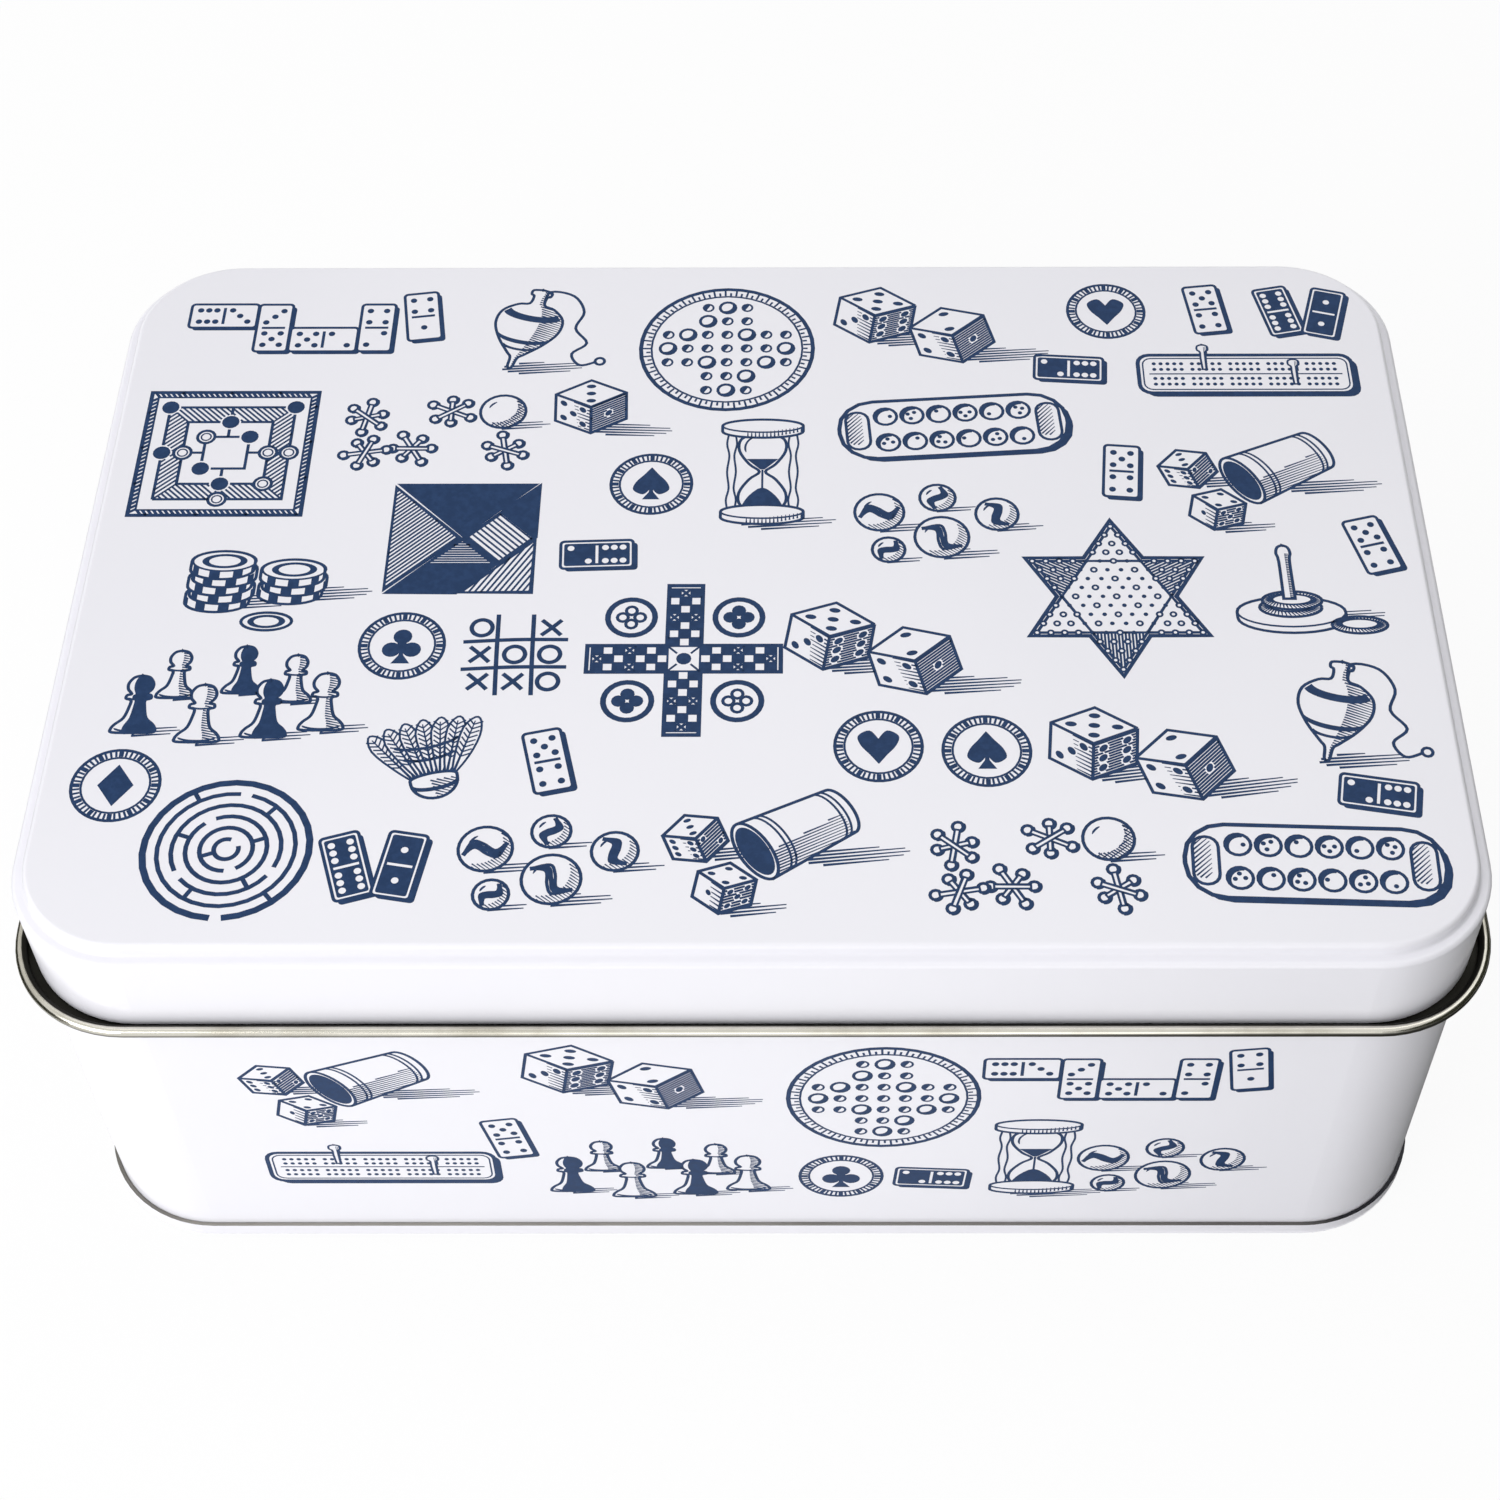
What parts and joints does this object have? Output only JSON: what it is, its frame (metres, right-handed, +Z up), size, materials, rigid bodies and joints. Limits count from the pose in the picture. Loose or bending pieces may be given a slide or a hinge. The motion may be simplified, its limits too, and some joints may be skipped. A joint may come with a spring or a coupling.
{
  "type": "card game tin",
  "caption": "Rectangular printed game tin with rounded corners, a stepped lid hinged at the back, a rolled metal rim, and a tray of card decks inside.",
  "frame": {"origin": "on the surface the tin stands on, under the middle of the whole outline, hinges included", "axes": "+X along the width to the right, +Y from the front to the hinged back, +Z up"},
  "size_m": [0.2452, 0.1714, 0.0905],
  "materials": {
    "white_lacquer": "satin white lacquer with a faint cool tint",
    "navy_ink": "navy line print under clear varnish",
    "bare_tinplate": "bright tinplate, rolled",
    "hinge_steel": "stamped tinplate",
    "pin_wire": "drawn steel wire",
    "rivet_steel": "formed steel rivets",
    "tray_plastic": "thermoformed sheet, fine matt",
    "card_stock": "coated card",
    "band_paper": "coloured paper band"
  },
  "bodies": {
    "tin_body": {"body_wall": "white_lacquer", "base_pan": "white_lacquer", "neck_ring": "bare_tinplate", "hinge_body_leaf_left": "hinge_steel", "hinge_pin_left": "pin_wire", "hinge_body_leaf_right": "hinge_steel", "hinge_pin_right": "pin_wire", "body_hinge_rivets": "rivet_steel", "card_tray": "tray_plastic"},
    "lid": {"lid_shell": "white_lacquer", "hinge_lid_leaf_left": "hinge_steel", "hinge_lid_leaf_right": "hinge_steel", "lid_hinge_rivets": "rivet_steel"},
    "deck_1": {"card_deck_1": "card_stock", "deck_band_1": "band_paper"},
    "deck_2": {"card_deck_2": "card_stock", "deck_band_2": "band_paper"},
    "deck_3": {"card_deck_3": "card_stock", "deck_band_3": "band_paper"},
    "deck_4": {"card_deck_4": "card_stock", "deck_band_4": "band_paper"}
  },
  "joints": [
    {"name": "lid_hinge", "type": "hinge", "parent": "tin_body", "child": "lid", "pos_m": [0, 0.08372, 0.07175], "axis": [-1, 0, 0], "range_deg": [0, 108]},
    {"name": "deck_1_lift", "type": "slide", "parent": "tin_body", "child": "deck_1", "axis": [0, 0, 1], "range_m": [0, 0.02]},
    {"name": "deck_2_lift", "type": "slide", "parent": "tin_body", "child": "deck_2", "axis": [0, 0, 1], "range_m": [0, 0.02]},
    {"name": "deck_3_lift", "type": "slide", "parent": "tin_body", "child": "deck_3", "axis": [0, 0, 1], "range_m": [0, 0.02]},
    {"name": "deck_4_lift", "type": "slide", "parent": "tin_body", "child": "deck_4", "axis": [0, 0, 1], "range_m": [0, 0.02]}
  ]
}
